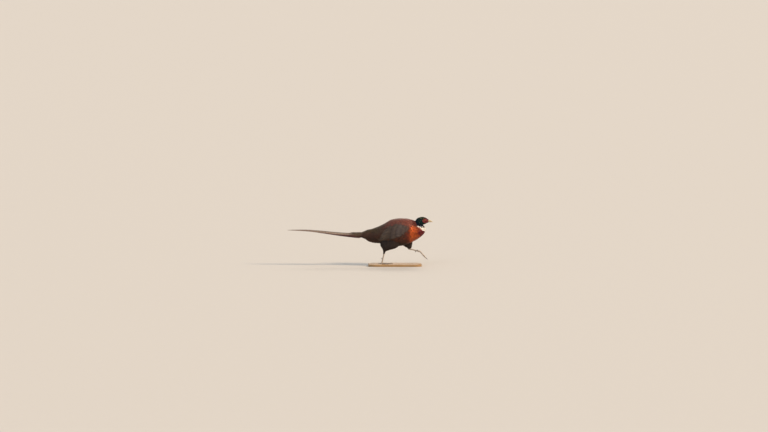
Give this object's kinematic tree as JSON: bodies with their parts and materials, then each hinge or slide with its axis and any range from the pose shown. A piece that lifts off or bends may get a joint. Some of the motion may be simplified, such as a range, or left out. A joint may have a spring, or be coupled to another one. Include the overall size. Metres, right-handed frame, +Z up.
{
  "type": "bird model",
  "caption": "Still life-size model of a cock common pheasant striding with one foot lifted, long tail held level, on a flat wooden base.",
  "frame": {"origin": "centre of the wooden base's underside", "axes": "+X toward the bill, +Y to the bird's left, +Z up"},
  "size_m": [0.8155, 0.15, 0.2753],
  "materials": {
    "copper_feather": "copper-chestnut plumage with dark scalloped edges",
    "neck_feather": "purple-maroon plumage, with the white collar at its top",
    "head_feather": "glossy green-black plumage with a red bare face",
    "wing_feather": "grey-buff coverts and barred flight feathers",
    "tail_feather": "buff-brown tail feathers with dark bars",
    "belly_feather": "black-brown plumage",
    "bill_horn": "pale horn",
    "eye_glass": "polished amber glass eye, opaque",
    "leg_scale": "pale grey scaled skin",
    "base_wood": "sanded and oiled"
  },
  "bodies": {
    "root": {"torso": "copper_feather", "neck": "neck_feather", "head": "head_feather", "bill_upper": "bill_horn", "bill_lower": "bill_horn", "tail": "tail_feather", "eye_left": "eye_glass", "eye_right": "eye_glass", "wing_left": "wing_feather", "wing_right": "wing_feather", "thigh_left": "belly_feather", "thigh_right": "belly_feather", "shank_left": "leg_scale", "shank_right": "leg_scale", "foot_left": "leg_scale", "foot_right": "leg_scale", "stand_base": "base_wood"}
  },
  "joints": []
}
